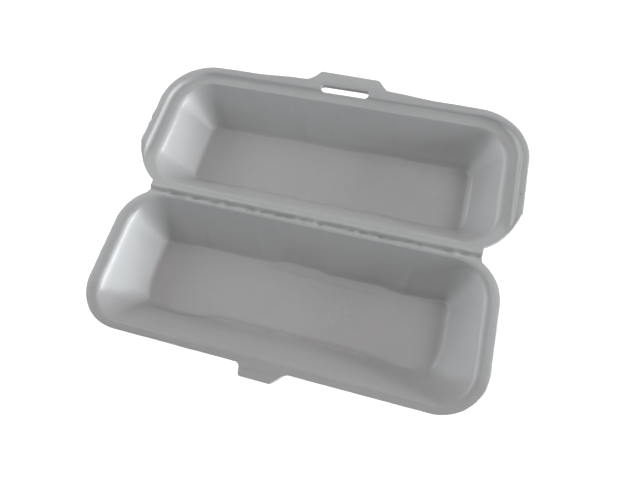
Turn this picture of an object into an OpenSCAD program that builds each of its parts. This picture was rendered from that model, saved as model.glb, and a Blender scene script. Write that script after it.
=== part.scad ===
// Hinged foam clamshell container, laid open flat.
// A tray-shaped base and a matching lid formed in one sheet of foam, joined by a pressed hinge line.
// The origin is the middle of the base's underside, on the table.
// +X runs along the hinge line, +Y from the latch tongue to the lid, +Z up. Millimetres.

/* [Trays] */
// Outer length of the base rim
tray_l = 200; // [160:1:260]
// Width of the base rim from the hinge line to the front edge
tray_w = 77.6; // [68:0.2:110]
// Depth of each tray below its rim
tray_depth = 22.5; // [16:0.5:30]
// Thickness of the foam sheet
sheet_t = 2.5; // [1.8:0.1:3]
// Lean of the tray walls from upright, in degrees
wall_lean = 32; // [22:0.5:38]
// Radius where the rim rolls over into the wall
shoulder_r = 5; // [3.6:0.1:7]
// Radius between the wall and the floor
floor_r = 4; // [2:0.1:6]
// Corner radius of the flat floor
floor_corner_r = 1; // [0.6:0.1:6]

/* [Rim] */
// Width of the flat rim
rim_w = 3.2; // [2.4:0.1:6]
// Extra width of the rim on the hinge side
hinge_land = 1.1; // [0.6:0.1:3]
// Rounding of the trimmed edges
edge_r = 0.7; // [0.3:0.1:0.8]

/* [Hinge] */
// Length of the hinge line
hinge_l = 178.4; // [165:0.2:180]
// Radius of the groove pressed along the hinge line
groove_r = 1.4; // [0.8:0.1:1.6]
// Gap between the two leaves at the hinge line
hinge_gap = 0.3; // [0.2:0.05:0.6]
// Radius of the rounded notch at each end of the hinge line
notch_r = 6; // [2:0.1:8]

/* [Lid] */
// Height of the outer lip above the ledge
lip_h = 2.5; // [1.5:0.1:3]
// Width of the flat top of the lip
lip_w = 3.4; // [2.6:0.1:5]
// Run of the sloping step between the ledge and the lip
step_run = 1; // [0.5:0.1:1.4]
// Gap between the edge of the base rim and the step
fit_gap = 0.45; // [0.3:0.05:0.8]
// Extra gap to the step on the latch side
latch_play = 1.5; // [1:0.1:2.5]
// Gap between the ledge and the base rim when closed
close_gap = 0.3; // [0.2:0.05:0.6]
// Distance from the hinge line at which the lip starts to rise
lip_start = 13; // [12:0.5:16]
// Distance from the hinge line at which the lip is at full height
lip_full = 26; // [22:0.5:32]
// How much rounder the lid's corners are beside the hinge than at the latch
near_round = 2.8; // [1:0.1:5]

/* [Latch] */
// Width of the tongue where it leaves the base rim
tongue_w = 24; // [22:0.5:30]
// Width of the tongue where it bends up
tongue_bend_w = 20; // [16:0.5:22]
// Width of the tongue at its tip
tongue_tip_w = 15; // [8:0.5:16]
// Sideways lean of the tip of the tongue
tongue_skew = -1.3; // [-2:0.1:2]
// Corner radius of the tip of the tongue
tongue_r = 1.5; // [0.5:0.1:2]
// Run of the raised part of the tongue
tongue_run = 3.6; // [3:0.1:5]
// Angle to which the tongue is raised, in degrees
tongue_angle = 42; // [20:1:45]
// Gap between the tongue and the edges of the slot
slot_gap = 0.35; // [0.3:0.05:0.8]
// Gap between each end of the slot and the tongue
slot_end_gap = 2; // [1:0.1:4]
// Length of the tab beyond the lip
tab_reach = 8.6; // [6:0.2:14]
// Width of the tab at its outer edge
tab_w = 40; // [34:0.5:48]
// Width of the tab where it leaves the lip
tab_root_w = 53; // [48:0.5:66]
// Corner radius of the tab
tab_r = 3.5; // [2:0.1:4.5]

/* [Hidden] */
foam = [0.70, 0.70, 0.69];
corner_steps = 10;
arc_steps = 5;
$fn = 48;

// The wall turns through this angle at the shoulder and again at the floor
turn = 90 - wall_lean;
wall_top = rim_w + shoulder_r * tan(turn / 2);
wall_foot = wall_top + tray_depth * tan(wall_lean);
floor_in = wall_foot + floor_r * tan(turn / 2);
corner_r = floor_corner_r + floor_in;
corner_x = tray_l / 2 - corner_r;

rim_z = tray_depth + sheet_t;
hinge_y = tray_w / 2;
lip_over = fit_gap + step_run + lip_w;
lid_w = tray_w + latch_play;
near_r = corner_r + lip_over + near_round;
near_x = tray_l / 2 + lip_over - near_r;

tongue_bend = tray_w + latch_play + fit_gap + slot_gap;
tongue_tip = tongue_bend + tongue_run;
tongue_rise = tongue_run * tan(tongue_angle);
slot_near = tongue_bend - slot_gap;
slot_far = norm([tongue_tip, tongue_rise]) + slot_gap;
slot_l = tongue_w + 2 * slot_end_gap;
tab_tip = lid_w + lip_over + tab_reach;

function smooth(t) = let (c = min(1, max(0, t))) c * c * (3 - 2 * c);

// Height of the lip above the ledge, by distance from the hinge line
function lip_rise(y) = lip_h * smooth((y - lip_start) / (lip_full - lip_start));

// A ring of points round the tray in plan: right half from the hinge side to the front, then its mirror
function ring(half) = concat(half, [for (k = [len(half) - 1:-1:0]) [-half[k].x, half[k].y, half[k].z]]);

function corner_angle(k) = 90 * k / corner_steps;

// Right half of a ring: the corner beside the hinge, a point on the end wall, the corner at the front
function half_ring(hinge_c, hinge_r, front_c, front_r, z) = concat(
    [for (k = [0:corner_steps])
        let (a = corner_angle(k) - 90)
        [hinge_c.x + hinge_r[k] * cos(a), max(hinge_gap / 2, hinge_c.y + hinge_r[k] * sin(a)), z]],
    [[front_c.x + front_r, near_r, z]],
    [for (k = [0:corner_steps])
        let (a = corner_angle(k))
        [front_c.x + front_r * cos(a), front_c.y + front_r * sin(a), z]]
);

function same(r) = [for (k = [0:corner_steps]) r];

// A ring of the tray, set in from the rim by the distance inset
function tray_ring(inset, z) = ring(half_ring(
    [corner_x, hinge_land + corner_r], same(corner_r - inset),
    [corner_x, tray_w - corner_r], corner_r - inset, z
));

// A ring of the base's trimmed edge
function edge_ring(inset, z) = ring(half_ring(
    [corner_x, corner_r], same(corner_r - inset),
    [corner_x, tray_w - corner_r], corner_r - inset, z
));

// Reach of the lid's outline from the centre of the base's corner beside the hinge, at an angle
function lid_reach(a) =
    let (away = [near_x - corner_x, near_r - corner_r])
    let (along = away * [cos(a), sin(a)])
    along + sqrt(along * along + near_r * near_r - away * away);

// A ring of the lid's lip, out from the base rim, and no nearer the lid's outline than margin
function lip_ring(out, margin, z, lift) =
    let (hinge_r = [for (k = [0:corner_steps])
        min(corner_r + out, lid_reach(corner_angle(k) - 90) - margin)])
    let (flat = ring(half_ring(
        [corner_x, corner_r], hinge_r, [corner_x, lid_w - corner_r], corner_r + out, z)))
    [for (p = flat) [p.x, p.y, p.z + lift * lip_rise(p.y)]];

// Inset and depth of the inside of the wall from the floor up to the rim
function wall_line() = concat(
    [for (k = [0:arc_steps])
        let (a = turn * k / arc_steps)
        [floor_in - floor_r * sin(a), -tray_depth + floor_r * (1 - cos(a))]],
    [for (k = [arc_steps:-1:0])
        let (a = turn * k / arc_steps)
        [rim_w + shoulder_r * sin(a), -shoulder_r * (1 - cos(a))]]
);

// The same line on the underside of the sheet, from the rim down to the floor
function under_line() = concat(
    [for (k = [0:arc_steps])
        let (a = turn * k / arc_steps)
        [rim_w + (shoulder_r - sheet_t) * sin(a), -shoulder_r + (shoulder_r - sheet_t) * cos(a)]],
    [for (k = [arc_steps:-1:0])
        let (a = turn * k / arc_steps)
        let (r = floor_r + sheet_t)
        [floor_in - r * sin(a), -tray_depth - sheet_t + r * (1 - cos(a))]]
);

function wall_rings() = [for (p = wall_line()) tray_ring(p[0], p[1])];

function under_rings() = [for (p = under_line()) tray_ring(p[0], p[1])];

// The edge of the base rim
function base_edge_rings() = [
    edge_ring(edge_r, 0),
    edge_ring(0.3 * edge_r, -0.3 * edge_r),
    edge_ring(0, -edge_r),
    edge_ring(0, -sheet_t)
];

// The ledge, the step and the lip of the lid, out over the top and back underneath
function lid_edge_rings() = [
    lip_ring(fit_gap, 1.4, 0, 0),
    lip_ring(fit_gap + step_run, 0.9, 0, 1),
    lip_ring(lip_over - edge_r, edge_r, 0, 1),
    lip_ring(lip_over - 0.3 * edge_r, 0.3 * edge_r, -0.3 * edge_r, 1),
    lip_ring(lip_over, 0, -edge_r, 1),
    lip_ring(lip_over, 0, -sheet_t, 1),
    lip_ring(fit_gap + step_run + 0.72 * sheet_t, 0.8, -sheet_t, 1),
    lip_ring(fit_gap + 0.72 * sheet_t, 1.3, -sheet_t, 0)
];

// A closed shell through the rings, from the floor's top round the rim to the floor's underside
module shell(rings) {
    m = len(rings[0]);
    points = [for (r = rings, p = r) p];
    last = len(rings) - 1;
    sides = [for (i = [0:last - 1], k = [0:m - 1])
        [i * m + k, (i + 1) * m + k, (i + 1) * m + (k + 1) % m, i * m + (k + 1) % m]];
    top = [for (k = [m - 1:-1:0]) k];
    bottom = [for (k = [0:m - 1]) last * m + k];
    polyhedron(points, concat([top], sides, [bottom]));
}

// Flat leaf along the hinge line, rounded into the tray's corner of centre c and radius corner
module hinge_leaf(c, corner) {
    end_x = hinge_l / 2;
    r = corner * cos(45 / corner_steps);
    notch_c = [end_x + notch_r, c.y - sqrt(pow(r + notch_r, 2) - pow(end_x + notch_r - c.x, 2))];
    inner = c + (notch_c - c) * (r - rim_w / 2) / (r + notch_r);
    translate([0, 0, -sheet_t])
    linear_extrude(sheet_t)
    union() {
        translate([-end_x, hinge_gap / 2])
        square([hinge_l, hinge_land + rim_w - hinge_gap / 2]);
        for (s = [-1, 1])
            scale([s, 1])
            difference() {
                polygon([[end_x - 1, notch_c.y], notch_c, inner, [end_x - 1, inner.y]]);
                translate(notch_c)
                circle(notch_r);
            }
    }
}

// The groove pressed along the hinge line
module hinge_groove() {
    translate([-tray_l / 2, 0, close_gap / 2])
    rotate([0, 90, 0])
    cylinder(h = tray_l, r = groove_r);
}

// A round corner in plan, turning from the side to the outer edge
function round_corner(x, y, r) = [for (a = [0:15:90]) [x - r + r * cos(a), y - r + r * sin(a)]];

function flip_x(points) = [for (k = [len(points) - 1:-1:0]) [-points[k].x, points[k].y]];

// Latch tongue: a flat root level with the rim, then a part bent up towards the lid's slot
module tongue() {
    root = tray_w - rim_w / 2;
    tip = round_corner(tongue_tip_w / 2, tongue_tip, tongue_r);
    intersection() {
        rotate([90, 0, 90])
        translate([0, 0, -tongue_w])
        linear_extrude(2 * tongue_w)
        polygon([[root, -sheet_t], [tongue_bend + 0.3, -sheet_t], [tongue_tip, tongue_rise - 0.8 * sheet_t],
            [tongue_tip, tongue_rise], [tongue_bend, 0], [root, 0]]);
        translate([0, 0, -2 * sheet_t])
        linear_extrude(tongue_rise + 4 * sheet_t)
        polygon(concat(
            [[-tongue_w / 2, root], [tongue_w / 2, root], [tongue_bend_w / 2, tongue_bend]],
            [for (q = concat(tip, flip_x(tip))) [q.x + tongue_skew, q.y]],
            [[-tongue_bend_w / 2, tongue_bend]]
        ));
    }
}

// Plan of the lid's tab: sides that sweep out into the lip, and rounded outer corners
module tab_plan() {
    root_y = lid_w + lip_over - edge_r;
    side_l = tab_tip - tab_r - root_y;
    side = concat(
        [[tab_root_w / 2, root_y - lip_w / 2]],
        [for (t = [0:0.125:1])
            [tab_root_w / 2 - (tab_root_w - tab_w) / 2 * smooth(t), root_y + side_l * t]],
        [for (q = round_corner(tab_w / 2, tab_tip, tab_r)) if (q.y > tab_tip - tab_r) q]
    );
    polygon(concat(side, flip_x(side)));
}

// Slot for the tongue, with round ends
module slot() {
    slot_w = slot_far - slot_near;
    span = slot_l - slot_w;
    translate([0, (slot_near + slot_far) / 2, -2 * sheet_t])
    linear_extrude(lip_h + 4 * sheet_t)
    union() {
        translate([-span / 2, -slot_w / 2])
        square([span, slot_w]);
        for (s = [-1, 1])
            translate([s * span / 2, 0])
            circle(d = slot_w);
    }
}

// Places a half, drawn out from the hinge line with its rim at z = 0, in the object's frame
module at_hinge() {
    translate([0, hinge_y, rim_z])
    children();
}

module base_tray() {
    color(foam)
    at_hinge()
    mirror([0, 1, 0])
    difference() {
        union() {
            shell(concat(wall_rings(), base_edge_rings(), under_rings()));
            hinge_leaf([corner_x, corner_r], corner_r);
            tongue();
        }
        hinge_groove();
    }
}

module lid() {
    color(foam)
    at_hinge()
    difference() {
        union() {
            shell(concat(wall_rings(), lid_edge_rings(), under_rings()));
            hinge_leaf([near_x, near_r], near_r);
            translate([0, 0, lip_h - sheet_t])
            linear_extrude(sheet_t)
            tab_plan();
        }
        hinge_groove();
        slot();
    }
}

base_tray();
lid();
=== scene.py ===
# %% [markdown]
# # A foam clamshell box, laid open
# The box is one sheet of grey polystyrene foam, softened by heat, pressed into two trays and trimmed.
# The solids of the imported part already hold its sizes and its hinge, so this script only makes the looks:
# the camera, the light, one continuous skin of foam that stands for both solids, and its finish.

from math import copysign, cos, exp, hypot, pi, radians, sin, sqrt, tan

import bmesh
import bpy
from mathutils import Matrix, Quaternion, Vector, noise


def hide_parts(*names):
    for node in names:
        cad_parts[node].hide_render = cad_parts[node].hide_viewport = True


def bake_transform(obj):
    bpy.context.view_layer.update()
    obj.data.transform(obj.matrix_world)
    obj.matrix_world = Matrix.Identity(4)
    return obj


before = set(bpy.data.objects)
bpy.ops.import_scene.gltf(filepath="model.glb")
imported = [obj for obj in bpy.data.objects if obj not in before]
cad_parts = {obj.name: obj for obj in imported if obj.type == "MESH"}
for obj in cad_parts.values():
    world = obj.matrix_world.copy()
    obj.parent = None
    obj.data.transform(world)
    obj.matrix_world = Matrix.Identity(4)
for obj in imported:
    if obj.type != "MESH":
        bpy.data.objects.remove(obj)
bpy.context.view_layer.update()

# %% [markdown]
# ## Camera
# The photograph looks down steeply over the front right corner. Its perspective was solved from the outlines
# of the rims, so the eye, the point that it looks at, the roll and the lens are plain numbers here.
# Millimetres are used all through and turned into metres by one factor.

# %% Camera
MM = 0.001
EYE = Vector((50.146, -55.621, 243.119)) * MM
LOOKED_AT = Vector((10.07, 28.59, 25.0)) * MM
ROLL = radians(-11.47)
FOCAL_PIXELS = 470.0

bpy.ops.object.select_all(action="DESELECT")
bpy.ops.object.camera_add(location=EYE)
camera = bpy.context.object
camera.name = "photo_camera"
aim = (LOOKED_AT - EYE).to_track_quat("-Z", "Y") @ Quaternion((0, 0, 1), ROLL)
camera.rotation_euler = aim.to_euler()
camera.data.sensor_width = 36.0
camera.data.lens = FOCAL_PIXELS * 36.0 / 640.0
camera.data.clip_start = 0.005
bpy.context.scene.camera = camera
print("lens", round(camera.data.lens, 2), "mm")

# %% [markdown]
# ## Picking by place
# In edit mode a modeller clicks on edges and faces. A script picks them by where they are instead, so one
# small helper deselects everything and then selects what passes a test. The sheet is modelled in millimetres
# about the hinge line: x runs along it, y is the distance from it (the base is on the minus side), z is up.

# %% Helpers for picking
def clear_selection():
    if bpy.context.object and bpy.context.object.mode != "OBJECT":
        bpy.ops.object.mode_set(mode="OBJECT")
    bpy.ops.object.select_all(action="DESELECT")


def sheet_mesh():
    return bmesh.from_edit_mesh(bpy.context.object.data)


def pick(kind, test):
    """Select, in edit mode, the verts, edges or faces that pass the test, and return how many."""
    bpy.ops.mesh.select_mode(type=kind)
    bpy.ops.mesh.select_all(action="DESELECT")
    work = sheet_mesh()
    parts = {"VERT": work.verts, "EDGE": work.edges, "FACE": work.faces}[kind]
    found = [part for part in parts if test(part)]
    for part in found:
        part.select_set(True)
    bmesh.update_edit_mesh(bpy.context.object.data)
    return len(found)


def middle(edge):
    return (edge.verts[0].co + edge.verts[1].co) / 2


def move_picked(rule):
    """Move every selected vertex to the place that the rule gives for it."""
    work = sheet_mesh()
    for vert in work.verts:
        if vert.select:
            vert.co = rule(vert.co.copy())
    bmesh.update_edit_mesh(bpy.context.object.data)


def ease(t):
    t = min(max(t, 0.0), 1.0)
    return t * t * (3 - 2 * t)


print("helpers ready")

# %% [markdown]
# ## The outline of one half
# Each half starts as the flat sheet inside its trim line: a rectangle with large rounded corners. A plane is
# scaled to size, its corners are beveled as vertices, and the straight sides are subdivided so that later
# rows have points to bend at. The hinge side of both halves lies on y = 0.

# %% Flat sheet with rounded corners
TRAY_L = 200.0
TRAY_W = 77.6
CORNER_R = 23.25
CORNER_X = TRAY_L / 2 - CORNER_R
CORNER_STEPS = 24
SIDE_STEPS = 160
END_STEPS = 16


def flat_sheet(name, side):
    clear_selection()
    bpy.ops.mesh.primitive_plane_add(size=1, location=(0, 0, 0))
    sheet = bpy.context.object
    sheet.name = name
    bpy.ops.object.mode_set(mode="EDIT")
    bpy.ops.mesh.select_all(action="SELECT")
    bpy.ops.transform.resize(value=(TRAY_L, TRAY_W, 1))
    bpy.ops.transform.translate(value=(0, side * TRAY_W / 2, 0))
    pick("VERT", lambda vert: True)
    bpy.ops.mesh.bevel(affect="VERTICES", offset=CORNER_R, segments=CORNER_STEPS)
    for cuts, longest in ((1, TRAY_L / 2), (SIDE_STEPS // 2 - 1, 60), (END_STEPS - 1, CORNER_R)):
        while pick("EDGE", lambda edge: edge.calc_length() > longest):
            work = sheet_mesh()
            for extra in [edge for edge in work.edges if edge.select][1:]:
                extra.select_set(False)
            bpy.ops.mesh.subdivide(number_cuts=cuts)
    return sheet


print("outline:", TRAY_L, "by", TRAY_W, "mm, corners of", CORNER_R, "mm")

# %% [markdown]
# ## Pressing the cavity
# The press leaves a flat rim, rolls over a shoulder, drops down a leaning wall and turns into the floor. That
# section is a list of (distance in from the trim line, height), and each row is one inset of the remaining
# floor face. Near the hinge the rim is a little wider, so after the first inset that half of the opening is
# moved away from the hinge.

# %% Cavity rows
RIM_W = 3.2
HINGE_LAND = 1.1
DEPTH = 22.5


def cavity_rows(slope, shoulder_r, floor_r, rim_w=RIM_W):
    rows = [(rim_w, 0.0)]
    for step in range(1, 8):
        a = slope * step / 7
        rows.append((rim_w + shoulder_r * sin(a), -shoulder_r * (1 - cos(a))))
    top_in, top_z = rows[-1]
    foot_z = -DEPTH + floor_r * (1 - cos(slope))
    foot_in = top_in + (top_z - foot_z) / tan(slope)
    for step in range(1, 10):
        t = step / 9
        rows.append((top_in + (foot_in - top_in) * t, top_z + (foot_z - top_z) * t))
    floor_in = foot_in + floor_r * sin(slope)
    for step in range(1, 7):
        a = slope * (1 - step / 6)
        rows.append((floor_in - floor_r * sin(a), -DEPTH + floor_r * (1 - cos(a))))
    rows.append((floor_in + 0.4, -DEPTH))
    return rows


END_LEAN = radians(58)
END_SHOULDER_R, END_FLOOR_R = 4.2, 4.0
END_RIM_W = RIM_W + 0.5
END_ROWS = cavity_rows(END_LEAN, END_SHOULDER_R, END_FLOOR_R, END_RIM_W)


def press_cavity(side):
    pick("FACE", lambda face: True)
    done_in, done_z = 0.0, 0.0
    for row_in, row_z in END_ROWS:
        bpy.ops.mesh.inset(thickness=row_in - done_in, depth=row_z - done_z)
        if done_in == 0.0:
            pick("VERT", lambda vert: not vert.is_boundary and vert.co.y * side < TRAY_W / 2)
            bpy.ops.transform.translate(value=(0, side * HINGE_LAND, 0))
            pick("FACE", lambda face: len(face.verts) > 100)
        done_in, done_z = row_in, row_z


print("cavity rows:", len(END_ROWS))

# %% [markdown]
# ## Sharper long walls, and the sheet's underside
# The two ends of each tray roll over softly, but along the long sides the photograph shows a nearly sharp
# shoulder and floor edge. So the same rows are worked out a second time for a long side, and every point
# slides from its first place to the second by how much it faces a long side. In the corners that is a blend.
# The ridge of the base beside the hinge is a little rounder and narrower, so it has a third set of rows.
# The underside has rows of its own, because a tight bend can't be offset by the sheet's thickness without
# folding over. Each point keeps the way down to its underside as an attribute, which is used much later.

# %% Long side rows
SHEET_T = 2.5
BELOW = "below"


def under_rows(slope, shoulder_r, floor_r, rim_w=RIM_W):
    bend = max(shoulder_r - SHEET_T, 1.0)
    rim_w = rim_w + (shoulder_r - SHEET_T - bend) * tan(slope / 2)
    rows = cavity_rows(slope, bend, floor_r + SHEET_T, rim_w)
    return [(row_in, row_z - SHEET_T) for row_in, row_z in rows]


LONG_LEAN = radians(54)
LONG_SHOULDER_R, LONG_FLOOR_R = 1.0, 1.3
RIDGE_SHOULDER_R = 2.4
RIDGE_RIM_W = RIM_W - 1.3
END_UNDER = under_rows(END_LEAN, END_SHOULDER_R, END_FLOOR_R, END_RIM_W)
LONG_ROWS = cavity_rows(LONG_LEAN, LONG_SHOULDER_R, LONG_FLOOR_R)
LONG_UNDER = under_rows(LONG_LEAN, LONG_SHOULDER_R, LONG_FLOOR_R)
RIDGE_ROWS = cavity_rows(LONG_LEAN, RIDGE_SHOULDER_R, LONG_FLOOR_R, RIDGE_RIM_W)
RIDGE_UNDER = under_rows(LONG_LEAN, RIDGE_SHOULDER_R, LONG_FLOOR_R, RIDGE_RIM_W)


def station(co):
    """How far in from the trim line a cavity point lies, the way out, and its share of the long side."""
    half, reach = copysign(1, co.y), abs(co.y)
    at_hinge = reach < TRAY_W / 2
    corner_y = CORNER_R + HINGE_LAND if at_hinge else TRAY_W - CORNER_R
    dx = max(abs(co.x) - CORNER_X, 0.0)
    dy = max(corner_y - reach if at_hinge else reach - corner_y, 0.0)
    r = hypot(dx, dy)
    out = Vector((copysign(dx, co.x), copysign(dy, -half if at_hinge else half), 0)) / r
    return CORNER_R - r, out, (dy / r) ** 2


def mix_rows(at_end, at_long, row, share):
    return [a + (b - a) * share for a, b in zip(at_end[row], at_long[row])]


def draw_long_walls():
    sheet_mesh().verts.layers.float_vector.new(BELOW)
    work = sheet_mesh()
    below = work.verts.layers.float_vector[BELOW]
    for vert in work.verts:
        vert[below] = (0, 0, -SHEET_T)
        if vert.is_boundary:
            continue
        inset, out, share = station(vert.co)
        row = min(range(len(END_ROWS)),
                  key=lambda i: abs(END_ROWS[i][0] - inset) + abs(END_ROWS[i][1] - vert.co.z))
        ridge = -TRAY_W / 2 < vert.co.y < 0
        new_in, new_z = mix_rows(END_ROWS, RIDGE_ROWS if ridge else LONG_ROWS, row, share)
        under_in, under_z = mix_rows(END_UNDER, RIDGE_UNDER if ridge else LONG_UNDER, row, share)
        vert.co = vert.co + out * (inset - new_in)
        vert.co.z = new_z
        vert[below] = out * (new_in - under_in) + Vector((0, 0, under_z - new_z))
    bmesh.update_edit_mesh(bpy.context.object.data)


base_skin = flat_sheet("foam_base", -1)
press_cavity(-1)
draw_long_walls()
print("base rows pressed:", len(sheet_mesh().verts), "points")

# %% [markdown]
# ## The latch tongue
# A short trapezoid tongue grows from the middle of the base's front rim and tips up, so that it can snap
# through the slot of the lid. The rim edges there are extruded row by row, and each row is moved on, narrowed
# and lifted. The two sharp corners of the tip are then beveled as vertices, which rounds them.

# %% Tongue
# Distance from the hinge, left end, right end, rise above the rim
TONGUE_ROWS = [
    (78.2, -11.5, 11.3, 0.04),
    (79.0, -10.75, 10.2, 0.22),
    (79.7, -10.4, 9.7, 0.5),
    (80.3, -10.2, 9.3, 0.82),
    (81.1, -9.9, 8.6, 1.35),
    (81.9, -9.6, 7.9, 1.95),
    (82.5, -9.3, 7.35, 2.4),
    (83.6, -8.7, 6.3, 3.25),
]
CUT_ROUND = 1.3


def picked_span():
    """The left and right ends of what is selected."""
    places = [vert.co.x for vert in sheet_mesh().verts if vert.select]
    return min(places), max(places)


def round_tip(reach):
    """Round the two end corners of a row that lies this far from the hinge."""
    ends = picked_span()
    pick("VERT", lambda vert: vert.is_boundary and abs(abs(vert.co.y) - reach) < 0.6
         and min(abs(vert.co.x - end) for end in ends) < 0.01)
    bpy.ops.mesh.bevel(affect="VERTICES", offset=CUT_ROUND, segments=4)


pick("EDGE", lambda edge: edge.is_boundary and middle(edge).y < -TRAY_W + 0.01 and abs(middle(edge).x) < 12)
for reach, left, right, rise in TONGUE_ROWS:
    old_left, old_right = picked_span()
    bpy.ops.mesh.extrude_region_move()
    scale = (right - left) / (old_right - old_left)
    shift = left - old_left * scale
    move_picked(lambda co: Vector((co.x * scale + shift, -reach, rise)))
round_tip(reach)
bpy.ops.object.mode_set(mode="OBJECT")
print("tongue rows:", len(TONGUE_ROWS))

# %% [markdown]
# ## The lid's stepped lip
# The lid is pressed from the same tray, but its edge goes on: past a narrow ledge it steps up and out into a
# raised lip that drops over the base's rim when the box shuts. The lip dies away towards the hinge. The trim
# line is extruded in rows, and every row follows the rim at its own distance; near the hinge the rows are
# held inside the larger corner that the lid is cut to.

# %% Lip rows
LIP_OVER = 4.85
LATCH_PLAY = 1.5
LIP_START, LIP_FULL = 13.0, 26.0
NEAR_R = 30.9
NEAR_X = TRAY_L / 2 + LIP_OVER - NEAR_R
FAR_Y = TRAY_W + LATCH_PLAY
# Out from the rim, rise, margin to the cut edge, height beside the hinge, then out and rise of the underside
LIP_ROWS = [
    (-1.95, 0.0, 2.6, 2.7, -1.95, 0.0),
    (-1.1, 0.06, 2.35, 2.6, -1.0, 0.0),
    (-0.45, 0.22, 2.15, 2.5, 0.0, 0.0),
    (0.1, 0.55, 1.95, 2.4, 0.9, 0.05),
    (0.45, 1.0, 1.8, 2.3, 1.5, 0.25),
    (0.8, 1.65, 1.65, 2.2, 1.85, 0.8),
    (1.15, 2.12, 1.5, 2.12, 2.1, 1.35),
    (1.6, 2.4, 1.35, 2.04, 2.35, 1.9),
    (2.2, 2.5, 1.2, 1.96, 2.65, 2.35),
    (2.75, 2.54, 1.1, 1.88, 2.95, 2.52),
    (3.2, 2.57, 1.0, 1.8, 3.25, 2.57),
    (3.6, 2.6, 0.9, 1.72, 3.6, 2.6),
    (LIP_OVER, 2.65, 0.0, 1.6, LIP_OVER, 2.65),
]


def lid_reach(ca, sa):
    """Distance from the corner's middle to the lid's cut edge, along a direction towards the hinge."""
    away_x, away_y = NEAR_X - CORNER_X, NEAR_R - CORNER_R
    along = away_x * ca + away_y * sa
    return along + sqrt(along * along + NEAR_R ** 2 - away_x ** 2 - away_y ** 2)


def lip_place(co, out, margin, hinge_side):
    """Where a point of the trim line goes in a row at this distance out from the rim."""
    across, y = abs(co.x), co.y
    if across > CORNER_X and y < CORNER_R:
        r = hypot(across - CORNER_X, y - CORNER_R)
        ca, sa = (across - CORNER_X) / r, (y - CORNER_R) / r
        r = min(CORNER_R + out, lid_reach(ca, sa) - margin)
        across, y = CORNER_X + r * ca, max(CORNER_R + r * sa, hinge_side)
    elif across > CORNER_X and y > FAR_Y - CORNER_R:
        r = hypot(across - CORNER_X, y - FAR_Y + CORNER_R)
        grow = (CORNER_R + out) / r
        across, y = CORNER_X + (across - CORNER_X) * grow, FAR_Y - CORNER_R + (y - FAR_Y + CORNER_R) * grow
    elif across > CORNER_X:
        across = TRAY_L / 2 + out
    elif y > TRAY_W / 2:
        y = FAR_Y + out
    else:
        y = hinge_side
    return Vector((copysign(across, co.x), y, 0))


def lip_row(out, rise, margin, hinge_side, under_out, under_rise):
    """Put the selected row in its place, and note where its underside lies."""
    work = sheet_mesh()
    below = work.verts.layers.float_vector[BELOW]
    for vert in work.verts:
        if vert.select:
            top = lip_place(vert.co, out, margin, hinge_side)
            under = lip_place(vert.co, under_out, margin, hinge_side)
            grown = ease((top.y - LIP_START) / (LIP_FULL - LIP_START))
            vert.co = top + Vector((0, 0, rise * grown))
            vert[below] = (under - top) * grown + Vector((0, 0, (under_rise - rise) * grown - SHEET_T))
    bmesh.update_edit_mesh(bpy.context.object.data)


lid_skin = flat_sheet("foam_lid", 1)
press_cavity(1)
draw_long_walls()
pick("VERT", lambda vert: vert.is_boundary and vert.co.y > TRAY_W / 2)
bpy.ops.transform.translate(value=(0, LATCH_PLAY, 0))
pick("VERT", lambda vert: vert.is_boundary)
lip_row(*LIP_ROWS[0])
for row in LIP_ROWS[1:]:
    pick("EDGE", lambda edge: edge.is_boundary)
    bpy.ops.mesh.extrude_region_move()
    lip_row(*row)
print("lip rows:", len(LIP_ROWS))

# %% [markdown]
# ## The finger tab
# At the middle of its far edge the lid swells a little and flares into a finger tab. The swelling and the
# flare are made first, by moving points of the lip, because a row extruded at once from a sharp inner corner
# would fold. The tab itself is a few extruded rows that narrow in a soft curve. It sits a millimetre right of
# the middle, and its outer edge runs slightly out of square, as the trimmed one does.

# %% Tab
# Distance from the hinge, left end, right end, rise above the rim
TAB_ROWS = [
    (86.8, -20.9, 23.3, 2.88),
    (88.0, -19.4, 22.1, 2.8),
    (89.3, -18.4, 21.2, 2.68),
    (90.6, -17.5, 20.3, 2.52),
    (91.8, -16.7, 19.4, 2.36),
    (93.0, -15.9, 18.2, 2.2),
]
TAB_SKEW = 0.016
TAB_X = 1.0
TAB_HALF = 23.2


def swollen(co):
    outer = ease((co.y - FAR_Y - 2.2) / (LIP_OVER - 2.2))
    swell = 1.55 * ease((54 - abs(co.x)) / 27) + 0.5 * ease((26.5 - abs(co.x - TAB_X)) / 4.5)
    return Vector((co.x, co.y + swell * outer, co.z + 0.35 * outer * ease((84 - abs(co.x)) / 20)))


pick("VERT", lambda vert: vert.co.y > FAR_Y + 2.3 and abs(vert.co.x) < 84)
move_picked(swollen)
pick("EDGE", lambda edge: edge.is_boundary and middle(edge).y > FAR_Y + LIP_OVER
     and abs(middle(edge).x - TAB_X) < TAB_HALF)
for reach, left, right, rise in TAB_ROWS:
    old_left, old_right = picked_span()
    bpy.ops.mesh.extrude_region_move()
    skew = TAB_SKEW * ease((reach - 86) / 6)
    scale = (right - left) / (old_right - old_left)
    shift = left - old_left * scale
    move_picked(lambda co: Vector((co.x * scale + shift, reach - skew * co.x, rise)))
round_tip(reach)
print("tab rows:", len(TAB_ROWS))

# %% [markdown]
# ## The slot
# The tongue passes through a slot with round ends, punched at the root of the tab. The faces between two
# lip rows are deleted, the two long edges are set straight, and the points at each end are pushed out along
# a half circle. Their neighbours move too, less and less, so that the sheet stays even.

# %% Slot
SLOT_NEAR, SLOT_FAR = FAR_Y + 0.45, FAR_Y + 4.15
SLOT_R = (SLOT_FAR - SLOT_NEAR) / 2
SLOT_Y = (SLOT_FAR + SLOT_NEAR) / 2
SLOT_LEFT, SLOT_RIGHT = -13.5, 14.75
SLOT_EASE = 14.0

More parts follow.
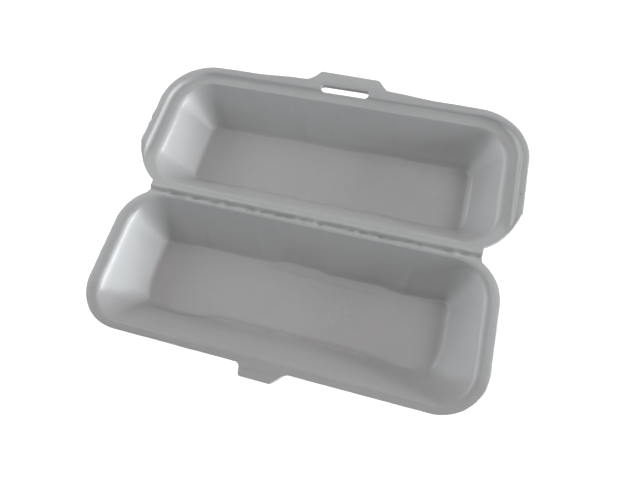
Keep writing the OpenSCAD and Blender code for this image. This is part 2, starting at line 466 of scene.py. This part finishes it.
pick("FACE", lambda face: abs(face.calc_center_median().x) < 11
     and FAR_Y + 0.45 < face.calc_center_median().y < SLOT_FAR + 0.2)
bpy.ops.mesh.delete(type="FACE")
slot_edge = [vert for vert in sheet_mesh().verts
             if vert.is_boundary and abs(vert.co.x) < 15 and FAR_Y < vert.co.y < FAR_Y + 4.9]
slot_column = max(abs(vert.co.x) for vert in slot_edge)
far_row = max(vert.co.y for vert in slot_edge)


def slot_shape(co):
    y = co.y
    if y > far_row - 0.01:
        y += (SLOT_FAR - far_row) * ease((slot_column + 8 - abs(co.x)) / 8)
    end = -SLOT_LEFT if co.x < 0 else SLOT_RIGHT
    bulge = sqrt(max(SLOT_R ** 2 - (y - SLOT_Y) ** 2, 0.0))
    push = end - SLOT_R + bulge - slot_column
    away = max(abs(co.x) - slot_column, 0.0)
    if abs(co.x) < slot_column - 0.01:
        push *= abs(co.x) / slot_column
        away = 0.0
    return Vector((co.x + copysign(push, co.x) * max(1 - away / SLOT_EASE, 0.0) ** 2, y, co.z))


pick("VERT", lambda vert: abs(vert.co.x) < slot_column + SLOT_EASE
     and SLOT_NEAR - 0.01 <= vert.co.y <= far_row + 0.01)
move_picked(slot_shape)
bpy.ops.object.mode_set(mode="OBJECT")
print("slot", SLOT_LEFT, "to", SLOT_RIGHT, "by", round(2 * SLOT_R, 2), "mm")

# %% [markdown]
# ## Joining the halves with the hinge
# Base and lid are one sheet, so the two halves are joined and their facing edges are bridged. The strip
# between them is the pressed hinge line, with a round notch at each end.

# %% Hinge strip
GROOVE_HALF = 1.6
HINGE_END = 89.2

clear_selection()
base_skin.select_set(True)
lid_skin.select_set(True)
bpy.context.view_layer.objects.active = base_skin
bpy.ops.object.join()
skin = bpy.context.object
skin.name = "foam_skin"
bpy.ops.object.mode_set(mode="EDIT")
pick("VERT", lambda vert: vert.is_boundary and -GROOVE_HALF < vert.co.y < 0.5)
move_picked(lambda co: Vector((co.x, -GROOVE_HALF, co.z)))
bridged = pick("EDGE", lambda edge: edge.is_boundary and abs(middle(edge).y) < 4.2
               and abs(middle(edge).x) < 92)
bpy.ops.mesh.bridge_edge_loops(type="SINGLE", number_cuts=9, interpolation="LINEAR")


def notch_end(co):
    across = HINGE_END + 0.4 * (co.y / 4) ** 2
    return Vector((copysign(across, co.x), co.y, co.z))


pick("VERT", lambda vert: vert.is_boundary and abs(vert.co.y) < 3.8 and 80 < abs(vert.co.x) < 93)
move_picked(notch_end)
print("hinge edges bridged:", bridged)

# %% [markdown]
# ## The crease of the hinge
# The press bar leaves a fine groove that the lid bends along. Its deepest line lies about a millimetre on the
# base's side, and it wanders and pits along its length. The foam springs back between the teeth of the bar,
# so a row of beads stands on each side, higher on the lid's. The strip's points are lowered to a smooth
# section and lifted again at the beads. Slow noise keeps the beads from looking machined.

# %% Groove and beads
GROOVE_DEPTH = 1.5
GROOVE_Y = -1.0
BEAD_PITCH = 2.6
LID_BEADS_Y, BASE_BEADS_Y = 0.9, -2.7


def slow_noise(x, seed, length):
    return noise.noise(Vector((x / length, seed * 7.31, 0.37 * seed)))


def bead(x):
    phase = x / BEAD_PITCH + 0.5 * slow_noise(x, 3, 21)
    return (0.5 + 0.5 * cos(2 * pi * phase)) * (0.75 + 0.5 * slow_noise(x, 5, 9))


def crease(co):
    bottom = GROOVE_Y - 0.25 * ease((-30 - co.x) / 30) + 0.5 * slow_noise(co.x, 31, 4.5)
    pits = 1 + 0.8 * slow_noise(co.x, 33, 3.1)
    t = (co.y - bottom) / (1.5 + 0.5 * slow_noise(co.x, 35, 3.7))
    depth = GROOVE_DEPTH * pits * cos(pi / 2 * min(abs(t), 1.0)) ** 2
    lid_side = ease((co.y - GROOVE_Y) / 0.9)
    z = co.z - depth * (1 - 0.45 * lid_side * bead(co.x))
    z += 0.6 * bead(co.x + 1) * exp(-((co.y - LID_BEADS_Y) / 0.6) ** 2)
    base_beads = 0.4 * bead(co.x + 2) - 0.2 + 0.4 * slow_noise(co.x, 37, 3.0)
    z += base_beads * exp(-((co.y - BASE_BEADS_Y) / 0.8) ** 2)
    return Vector((co.x, co.y, z))


pick("VERT", lambda vert: abs(vert.co.y) < 4.2 and abs(vert.co.z) < 0.5)
move_picked(crease)
print("groove", GROOVE_DEPTH, "mm deep, beads every", BEAD_PITCH, "mm")

# %% [markdown]
# ## Floor edges that wander
# Soft foam does not copy the mould exactly, so the foot of each wall wanders by a millimetre or two. The back
# edge of the base has a few bends that are easy to see, and they are given as points. The rest is left to
# slow noise. All of it is moved like strokes of a sculpting brush, with fixed noise in place of a hand.

# %% Wandering floor edges
FLOOR_END_X = 79.0


def wander(x, seed, slow, fast):
    return slow * 1.6 * slow_noise(x, seed, 24) + fast * 1.6 * slow_noise(x, seed + 11, 6.5)


BACK_EDGE = [(-85, 17.0), (-77, 16.8), (-55, 17.6), (-26, 17.4), (-3, 19.5), (8, 18.9), (22, 17.7),
             (43, 17.9), (59, 16.5), (72, 17.3), (85, 18.0)]


def along_points(x, points):
    """The height of a smooth line through the points at this place."""
    for (x0, y0), (x1, y1) in zip(points, points[1:]):
        if x <= x1:
            return y0 + (y1 - y0) * ease((x - x0) / (x1 - x0))
    return points[-1][1]


def floor_corner(co):
    """How much a point lies at one of the base's two front floor corners."""
    return exp(-((abs(co.x) - 79.5) / 7) ** 2 - ((co.y + 56.5) / 7) ** 2)


def floor_edge(co):
    low = ease((-co.z - 7) / 13)
    reach = abs(co.y)
    half = copysign(1, co.y)
    long_side = ease((83 - abs(co.x)) / 12) * low
    x, y = co.x, co.y
    if reach < 31:
        draw = -0.2 + wander(co.x, 2 + half, 0.5, 0.4)
        if half < 0:
            draw = 17.6 - along_points(co.x, BACK_EDGE) + wander(co.x, 2, 0.15, 0.4)
        y += half * draw * long_side
    elif reach > 47:
        draw = (0.0 if half < 0 else 1.1) + wander(co.x, 6 + half, 0.6, 0.3)
        y += half * draw * long_side
    else:
        ends = ease((9 - abs(reach - 39)) / 5) * low * ease((abs(x) - 70) / 6)
        x += ends * wander(co.y, 9 + copysign(1, x), 0.35, 0.2)
    pull = 2.4 * floor_corner(co) * low
    soft = 1.1 * exp(-((co.x - FLOOR_END_X) / 5) ** 2) * low if half < 0 else 0
    return Vector((x - copysign(0.75 * pull, x), y + 0.65 * pull, co.z + soft))


pick("VERT", lambda vert: vert.co.z < -6)
move_picked(floor_edge)
print("floor edges wander")

# %% [markdown]
# ## Creases in the walls
# Where the sheet folded as it stretched, the long walls keep faint upright creases. Each one is a narrow
# ridge that leans, starts below the shoulder and dies out at the foot. None is over half a millimetre high.

# %% Creases in the walls
# Half (minus is the base), place along the hinge, lean, height, and how far below the rim it starts and ends
CREASES = [
    (-1, -24.8, 0.42, 0.50, 6, 21),
    (-1, -54.0, 0.10, 0.26, 8, 20),
    (-1, 57.5, -0.10, 0.24, 6, 20),
    (1, -19.4, 0.16, 0.46, 9, 21),
    (1, -29.5, 0.20, 0.20, 3, 10),
    (1, 34.0, -0.10, 0.16, 8, 19),
]


def wall_crease(co):
    drop = -co.z
    lift = 0.0
    for half, place, lean, height, top, foot in CREASES:
        back_wall = abs(co.y) < 30 if half < 0 else co.y > 47
        if copysign(1, co.y) == half and back_wall:
            away = co.x - place - lean * (drop - 12)
            lift += height * exp(-(away / 1.15) ** 2) * ease((drop - top) / 4) * ease((foot - drop) / 3)
    return Vector((co.x, co.y - lift * 0.85, co.z + lift * 0.5))


pick("VERT", lambda vert: -21.5 < vert.co.z < -2 and abs(vert.co.x) < 75)
move_picked(wall_crease)
print("wall creases:", len(CREASES))

# %% [markdown]
# ## Waver of the trim
# The trimming tool and the thin foam leave no edge quite straight. The rims rise and fall by a tenth of a
# millimetre, the cut edge moves in and out as much, and the left end of the lid's lip is more ragged.

# %% Waver of the rim and the trimmed edge
def rim_waver(co):
    along = co.x + 0.6 * co.y
    lift = 0.10 * 1.6 * slow_noise(along, 21, 33)
    return Vector((co.x, co.y, co.z + lift * ease((abs(co.y) - 5) / 10)))


def cut_waver(co):
    out = 0.10 * 1.6 * slow_noise(co.x + 1.7 * co.y, 25, 5)
    if co.x < -100 and 24 < co.y < 62:
        out += 0.42 * 1.6 * slow_noise(co.y, 27, 2.3) * ease((co.y - 24) / 6) * ease((62 - co.y) / 8)
    away = Vector((co.x, co.y - copysign(39, co.y), 0)).normalized()
    return co + away * out


pick("VERT", lambda vert: vert.co.z > -1.5 and abs(vert.co.y) > 5)
move_picked(rim_waver)
pick("VERT", lambda vert: vert.is_boundary and abs(vert.co.y) > 8 and abs(vert.co.x) > 15)
move_picked(cut_waver)
bpy.ops.object.mode_set(mode="OBJECT")
print("edges waver")

# %% [markdown]
# ## Thickness and cut edges
# So far the skin is the sheet's upper face. Solidify adds the lower face and the cut faces between them, and
# each lower point is then put where its upper point says, so the walls are 2.5 mm thick and the crushed hinge
# line is thinner. The cut faces get a material slot of their own, because cut foam shows its cells.

# %% Thickness
HINGE_Y = 38.8
RIM_Z = 25.0

clear_selection()
skin.select_set(True)
bpy.context.view_layer.objects.active = skin
for name in ("foam_skin", "foam_cut"):
    skin.data.materials.append(bpy.data.materials.new(name))
foam_skin, foam_cut = skin.data.materials
upper = len(skin.data.vertices)
ways_down = [Vector(item.vector) for item in skin.data.attributes[BELOW].data]

sheet = skin.modifiers.new("sheet", "SOLIDIFY")
sheet.thickness = 0.1
sheet.offset = -1
sheet.material_offset_rim = 1
bpy.ops.object.modifier_apply(modifier="sheet")
for index, way in enumerate(ways_down):
    top = skin.data.vertices[index].co
    if abs(top.y) < GROOVE_HALF or way.length < 0.5:
        way = Vector((0, 0, -SHEET_T - top.z))
    skin.data.vertices[upper + index].co = top + way
skin.data.attributes.remove(skin.data.attributes[BELOW])
print("points above and below:", upper, len(skin.data.vertices) - upper)

# %% [markdown]
# ## Rounded arrises
# A knife leaves two sharp edges on the cut, and handling soon dulls them. Bevel rounds both, narrow enough
# not to fold at the tab's corners. Then the mesh is shrunk from millimetres to metres and set on the hinge.

# %% Rounded arrises
arris = skin.modifiers.new("arris", "BEVEL")
arris.limit_method = "ANGLE"
arris.angle_limit = radians(62)
arris.width = 0.4
arris.segments = 3
arris.use_clamp_overlap = False
bpy.ops.object.modifier_apply(modifier="arris")

bpy.ops.transform.resize(value=(MM, MM, MM), center_override=(0, 0, 0))
bpy.ops.transform.translate(value=(0, HINGE_Y * MM, RIM_Z * MM))
bpy.ops.object.transform_apply(location=True, rotation=True, scale=True)
bpy.ops.object.shade_smooth_by_angle(angle=radians(40))
triangles = sum(len(face.vertices) - 2 for face in skin.data.polygons)
print("foam skin:", len(skin.data.vertices), "points,", triangles, "triangles")

# %% [markdown]
# ## Shader arithmetic
# A finish is a sum of small things: cells, mottling, scuffs. Written as node links that is hard to read, so
# one class wraps a socket. Adding or multiplying two of them places a Math node, and every other node comes
# from one method that takes the node's type, its settings and what goes into its sockets.

# %% Wrapper for sockets
class Wire:
    def __init__(self, tree, socket=None):
        self.tree, self.socket = tree, socket

    def node(self, kind, settings, sockets, out=0):
        made = self.tree.nodes.new(kind)
        for name, value in settings.items():
            setattr(made, name, value)
        for name, value in sockets.items():
            if isinstance(value, Wire):
                self.tree.links.new(value.socket, made.inputs[name])
            else:
                made.inputs[name].default_value = value
        return Wire(self.tree, made.outputs[out])

    def math(self, operation, a, b=0.0, clamp=False):
        return self.node("ShaderNodeMath", {"operation": operation, "use_clamp": clamp}, {0: a, 1: b})

    def __add__(self, other):
        return self.math("ADD", self, other)

    def __sub__(self, other):
        return self.math("SUBTRACT", self, other)

    def __rsub__(self, other):
        return self.math("SUBTRACT", other, self)

    def __mul__(self, other):
        return self.math("MULTIPLY", self, other)

    def __truediv__(self, other):
        return self.math("DIVIDE", self, other)

    __radd__ = __add__
    __rmul__ = __mul__

    def clamped(self):
        return self.math("ADD", self, 0.0, clamp=True)

    def between(self, low, high):
        """0 below low, 1 above high, and a smooth rise between them."""
        return self.node("ShaderNodeMapRange", {"interpolation_type": "SMOOTHSTEP"},
                         {"Value": self, "From Min": low, "From Max": high})

    def bell(self, middle_value, width):
        """A soft hump, 1 at the middle value and about a third one width away."""
        t = (self - middle_value) / width
        return self.math("EXPONENT", 0.0 - t * t)


def new_tree(material):
    material.use_nodes = True
    tree = material.node_tree
    return Wire(tree), tree.nodes["Principled BSDF"]


print("socket arithmetic ready")

# %% [markdown]
# ## The foam's skin
# Extruded foam has a closed skin with a satin gloss. Close up it shows flattened cells about a millimetre
# wide, and from further away a cloudy mottling where the sheet was stretched more or less. The floors are
# stretched least and look warmer and duller. The base's front wall, its rim and the tongue are darkened a
# little, which is painted shade. Everything is placed by object coordinates.

# %% Satin skin
def foam_parts(wires):
    """Texture fields that the skin and the cut edge share."""
    where = wires.node("ShaderNodeTexCoord", {}, {}, out="Object")
    axes = wires.tree.nodes.new("ShaderNodeSeparateXYZ")
    wires.tree.links.new(where.socket, axes.inputs[0])
    x, y, z = (Wire(wires.tree, axes.outputs[i]) / MM for i in range(3))
    return where, x, y, z


def cloud(wires, where, scale, detail=2.0, rough=0.5, distort=0.0):
    return wires.node("ShaderNodeTexNoise", {}, {"Vector": where, "Scale": scale, "Detail": detail,
                                                 "Roughness": rough, "Distortion": distort})


wires, shader = new_tree(foam_skin)
where, x, y, z = foam_parts(wires)
cells = wires.node("ShaderNodeTexVoronoi", {"feature": "F1"},
                   {"Vector": where, "Scale": 820.0, "Randomness": 0.9})
grain = cloud(wires, where, 2600.0, 1.0)
dimples = cloud(wires, where, 210.0, 3.0, 0.55)
mottle = cloud(wires, where, 34.0, 4.0, 0.6)
on_floor = 1 - z.between(2.6, 5.5)

tone = 1 + (mottle - 0.5) * 0.10 + (dimples - 0.5) * 0.05
tone = tone + (grain - 0.5) * 0.05 - (cells - 0.35) * 0.02
tone = tone + on_floor * 0.02
on_base = 1 - y.between(38.8, 40.5)
front = 1 - y.between(-23.0, -17.0)
tongue = 1 - y.between(-41.0, -38.8)
# Painted shade: the base's front wall, the tongue and the base's rim are darkened.
tone = tone - front * 0.12 - tongue * 0.11 - on_base * z.between(23.4, 24.6) * 0.04
print("skin fields ready")

# %% [markdown]
# ## Marks and painted shade
# The base's floor carries a pale scuff made of flecks and a faint fold near its back edge, which is darkened
# along its crease as painted shade. A darker line along the floor's front edge and the darker feet of the two
# back walls are painted shade. The lid has a pale stress line at its right end, and its lip a dark speck.
# Each mark is a soft hump along x, y or z, so its place is easy to read.

# %% Marks on the skin
scuff_area = (x.bell(26.0, 9.0) * y.bell(-1.0, 8.5)) * on_floor
flecks = cloud(wires, where, 620.0, 3.0, 0.7).between(0.60, 0.68)
tone = tone + scuff_area * flecks * 0.34 + scuff_area * 0.02

fold_y = 15.0 - (x / 30.0)
fold = y.bell(fold_y + (dimples - 0.5) * 2.0, 0.7) * x.between(-22, -14) * (1 - x.between(38, 52)) * on_floor
# Painted shade along the fold's crease; its relief in the bump further down is real.
tone = tone - fold * 0.07

# Painted shade: a darker line along the base floor's front edge, with a slight dip in the bump.
front_y = -17.4 - 4.3 * (1 - x.between(-56, -32)) - 1.2 * x.between(38, 56) + (dimples - 0.5) * 2.2
front_edge_shade_and_dip = y.bell(front_y, 1.2) * x.between(-76, -66) * (1 - x.between(48, 66)) * (1 - z.between(6, 9))
tone = tone - front_edge_shade_and_dip * 0.16

# Painted shade: the feet of the two back walls are darkened.
back_foot_shade = y.between(15, 17) * (1 - y.between(22, 25)) + y.between(92, 94) * (1 - y.between(99, 102))
back_foot_shade = back_foot_shade * z.bell(4.6, 1.9) * (0.35 + 0.65 * x.between(-40, 50)) * (1 - x.between(76, 82))
tone = tone - back_foot_shade * (0.10 + (dimples - 0.5) * 0.12)

line_x = 81.3 + (dimples - 0.5) * 0.8
stress = x.bell(line_x, 0.35) * y.between(64, 68) * (1 - y.between(90, 95)) * z.bell(4.0, 1.3)
tone = tone + stress * 0.5
speck = x.bell(102.6, 0.35) * y.bell(74.5, 0.6) * z.between(26.5, 27)
tone = tone - speck * 0.5
print("marks ready")

# %% [markdown]
# ## Colour, gloss and relief
# The tone multiplies a grey that turns warmer on the floors and the base's front wall. The shoulders were
# pressed hardest and are glossier, and a thin coat on the left shoulder of each half gives the bright line
# that the photograph has there. Dimples, cells and grain become a shallow bump.

# %% Skin colour, gloss and relief
FOAM_GREY = (0.346, 0.343, 0.343, 1.0)
FOAM_WARM = (0.354, 0.335, 0.340, 1.0)


def toned(wires, colour, tone):
    """The colour, made lighter or darker by the tone."""
    grey_tone = wires.node("ShaderNodeCombineXYZ", {}, {0: tone, 1: tone, 2: tone})
    return wires.node("ShaderNodeMix", {"data_type": "RGBA", "blend_type": "MULTIPLY"},
                      {0: 1.0, 6: colour, 7: grey_tone}, out=2)


warm = (on_floor * 0.6 + front * 0.5 + (mottle - 0.5) * 0.8).clamped()
grey = wires.node("ShaderNodeMix", {"data_type": "RGBA"}, {0: warm, 6: FOAM_GREY, 7: FOAM_WARM}, out=2)
tinted = toned(wires, grey, tone)
shoulder = z.between(19.0, 23.5)
gloss = 0.43 + (dimples - 0.5) * 0.10 + (mottle - 0.5) * 0.08 + on_floor * 0.10 - shoulder * 0.09
relief = dimples * 0.00016 + cells * 0.00004 + grain * 0.000012 - fold * 0.00012 - front_edge_shade_and_dip * 0.00006
bump = wires.node("ShaderNodeBump", {}, {"Height": relief, "Strength": 0.55, "Distance": 1.0})
polish = z.bell(23.4, 1.2) * (1 - x.between(-88, -82)) * 0.42
shader.inputs["Coat Roughness"].default_value = 0.2
for name, wire in (("Base Color", tinted), ("Roughness", gloss.clamped()), ("Normal", bump),
                   ("Coat Weight", polish.clamped())):
    wires.tree.links.new(wire.socket, shader.inputs[name])
print("skin nodes:", len(wires.tree.nodes))

# %% [markdown]
# ## The cut edge
# Where the sheet was trimmed the skin is missing and the open cells show: rougher, a little paler and matt.

# %% Cut foam
wires, shader = new_tree(foam_cut)
where, x, y, z = foam_parts(wires)
cells = wires.node("ShaderNodeTexVoronoi", {"feature": "F1"}, {"Vector": where, "Scale": 1500.0})
crumbs = cloud(wires, where, 1400.0, 3.0, 0.6)
tone = 0.98 + (crumbs - 0.5) * 0.16 - (cells - 0.4) * 0.10
grey = toned(wires, FOAM_GREY, tone)
gloss = 0.62 + (crumbs - 0.5) * 0.2
relief = cells * 0.00018 + crumbs * 0.00008
bump = wires.node("ShaderNodeBump", {}, {"Height": relief, "Strength": 0.6, "Distance": 1.0})
for name, wire in (("Base Color", grey), ("Roughness", gloss), ("Normal", bump)):
    wires.tree.links.new(wire.socket, shader.inputs[name])
print("cut edge nodes:", len(wires.tree.nodes))

# %% [markdown]
# ## Floor
# The photograph's ground is plain white. The floor is a pale sheet that glows, but only for rays from the
# camera and for mirror and glass rays. So it looks white, keeps a faint shadow, and its glow does not light
# the box.

# %% Floor
clear_selection()
bpy.ops.mesh.primitive_plane_add(size=6, location=(0, 0, -0.0002))
floor = bpy.context.object
floor.name = "studio_floor"
paper = bpy.data.materials.new("floor_paper")
floor.data.materials.append(paper)
wires, shader = new_tree(paper)
shader.inputs["Base Color"].default_value = (0.75, 0.75, 0.75, 1)
shader.inputs["Roughness"].default_value = 0.9
path = wires.tree.nodes.new("ShaderNodeLightPath")
seen = Wire(wires.tree, path.outputs["Is Camera Ray"])
for name in ("Is Glossy Ray", "Is Transmission Ray"):
    seen = seen.math("MAXIMUM", seen, Wire(wires.tree, path.outputs[name]))
glow = wires.node("ShaderNodeEmission", {}, {"Color": (1, 1, 1, 1), "Strength": 0.94})
soft = wires.node("ShaderNodeBsdfDiffuse", {}, {"Color": (0.25, 0.25, 0.25, 1)})
bright = wires.node("ShaderNodeAddShader", {}, {0: glow, 1: soft})
plain = Wire(wires.tree, shader.outputs[0])
both = wires.node("ShaderNodeMixShader", {}, {0: seen, 1: plain, 2: bright})
wires.tree.links.new(both.socket, wires.tree.nodes["Material Output"].inputs["Surface"])
print("floor ready")

# %% [markdown]
# ## Studio light
# Soft lamps stand round the box. The low one on the right is the strongest, and the two on the left are
# weaker. A small lamp on the right draws the bright line on the left shoulder. The high lamps, a thin one
# behind and a plain one over the front fill in. Little comes from the front, so the back walls stay dark.

# %% Lamps
COOL, PLAIN = (0.925, 0.97, 1.0), (1.0, 0.995, 0.985)
LAMPS = [
    ("right_low", (0.90, 0.10, 0.16), 1.00, 0.25, 12.4, COOL),
    ("right_spot", (0.78, 0.10, 0.70), 0.20, 0.20, 1.9, COOL),
    ("right_high", (0.55, 0.42, 0.62), 0.90, 0.40, 2.4, PLAIN),
    ("left_low", (-0.85, 0.08, 0.16), 1.60, 0.25, 4.8, COOL),
    ("left_middle", (-0.80, 0.10, 0.42), 1.60, 0.25, 4.5, COOL),
    ("left_high", (-0.60, 0.34, 0.66), 1.00, 0.40, 1.6, PLAIN),
    ("back", (0.0, 0.50, 0.18), 1.00, 0.12, 0.56, PLAIN),
    ("top_front", (0.0, -0.40, 0.85), 0.60, 0.60, 2.1, PLAIN),
]
WORLD_LIGHT = 0.02
AIM = Vector((0.0, 0.045, 0.015))

for name, place, wide, tall, watts, tint in LAMPS:
    bpy.ops.object.select_all(action="DESELECT")
    bpy.ops.object.light_add(type="AREA", location=place)
    lamp = bpy.context.object
    lamp.name = name
    lamp.data.energy, lamp.data.color = watts, tint
    lamp.data.shape = "RECTANGLE"
    lamp.data.size, lamp.data.size_y = wide, tall
    lamp.rotation_euler = (AIM - lamp.location).to_track_quat("-Z", "Y").to_euler()

studio = bpy.data.worlds.new("studio")
bpy.context.scene.world = studio
studio.use_nodes = True
sky = studio.node_tree.nodes["Background"]
sky.inputs["Color"].default_value = (1, 1, 1, 1)
sky.inputs["Strength"].default_value = WORLD_LIGHT
bpy.context.scene.view_settings.view_transform = "Standard"
print("lamps:", len(LAMPS))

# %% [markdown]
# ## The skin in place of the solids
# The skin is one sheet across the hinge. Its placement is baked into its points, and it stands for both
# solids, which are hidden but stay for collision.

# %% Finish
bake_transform(skin)
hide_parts("base_tray", "lid")
